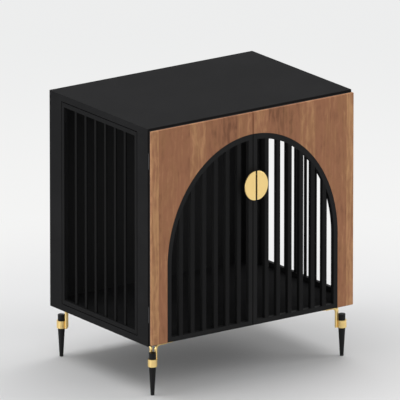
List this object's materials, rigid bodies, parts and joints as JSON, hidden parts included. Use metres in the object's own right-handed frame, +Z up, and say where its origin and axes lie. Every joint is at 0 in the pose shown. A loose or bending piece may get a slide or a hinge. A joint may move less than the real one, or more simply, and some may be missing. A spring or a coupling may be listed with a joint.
{
  "type": "dog crate end table",
  "caption": "Low black cabinet on tapered legs, with slatted sides and hinged doors whose walnut fronts together frame a slatted arch, each door with a half-moon brass pull.",
  "frame": {"origin": "on the floor, under the middle of the whole piece, doors and pulls included", "axes": "+Z up, the doors face -Y, the left side faces -X"},
  "size_m": [0.6, 0.443, 0.672],
  "materials": {
    "black_lacquer": "matt black lacquer on board",
    "black_hardboard": "matt black hardboard",
    "walnut_veneer": "matt walnut veneer, upright grain in joined strips",
    "black_frame": "satin black lacquer",
    "black_metal": "satin black powder coat",
    "satin_brass": "satin",
    "leg_black": "satin black powder coat",
    "black_hinge": "black plated steel",
    "zinc_steel": "bright zinc",
    "beech": "raw beech dowel",
    "black_plastic": "moulded black plastic"
  },
  "bodies": {
    "carcass": {"back_panel": "black_hardboard", "back_panel_screws": "black_hinge", "bottom_board": "black_lacquer", "bracket_screws": "zinc_steel", "cam_bolts": "zinc_steel", "cam_discs": "zinc_steel", "catch_body": "black_plastic", "catch_magnets": "zinc_steel", "catch_screws": "zinc_steel", "dowels": "beech", "foot_glides": "black_plastic", "frame_hinge_leaves": "black_hinge", "frame_leaf_screws": "black_hinge", "grille_screws": "black_hinge", "hinge_pins": "black_hinge", "left_front_bracket": "satin_brass", "left_front_leg": "leg_black", "left_front_post": "black_lacquer", "left_grille_frame": "black_metal", "left_rear_bracket": "satin_brass", "left_rear_leg": "leg_black", "left_rear_post": "black_lacquer", "left_side_slats": "black_metal", "right_front_bracket": "satin_brass", "right_front_leg": "leg_black", "right_front_post": "black_lacquer", "right_grille_frame": "black_metal", "right_rear_bracket": "satin_brass", "right_rear_leg": "leg_black", "right_rear_post": "black_lacquer", "right_side_slats": "black_metal", "top_board": "black_lacquer"},
    "left_door": {"left_arch_band": "black_frame", "left_bottom_rail": "black_frame", "left_centre_stile": "black_frame", "left_door_backing": "black_frame", "left_door_facing": "walnut_veneer", "left_door_hinge_leaves": "black_hinge", "left_door_leaf_screws": "black_hinge", "left_door_slats": "black_frame", "left_pull": "satin_brass", "left_pull_screws": "zinc_steel", "left_strike_plate": "zinc_steel"},
    "right_door": {"right_arch_band": "black_frame", "right_bottom_rail": "black_frame", "right_centre_stile": "black_frame", "right_door_backing": "black_frame", "right_door_facing": "walnut_veneer", "right_door_hinge_leaves": "black_hinge", "right_door_leaf_screws": "black_hinge", "right_door_slats": "black_frame", "right_pull": "satin_brass", "right_pull_screws": "zinc_steel", "right_strike_plate": "zinc_steel"}
  },
  "joints": [
    {"name": "left_door_hinge", "type": "hinge", "parent": "carcass", "child": "left_door", "pos_m": [-0.2975, -0.1955, 0.3995], "axis": [0, 0, -1], "range_deg": [0, 110]},
    {"name": "right_door_hinge", "type": "hinge", "parent": "carcass", "child": "right_door", "pos_m": [0.2975, -0.1955, 0.3995], "axis": [0, 0, 1], "range_deg": [0, 110]}
  ]
}
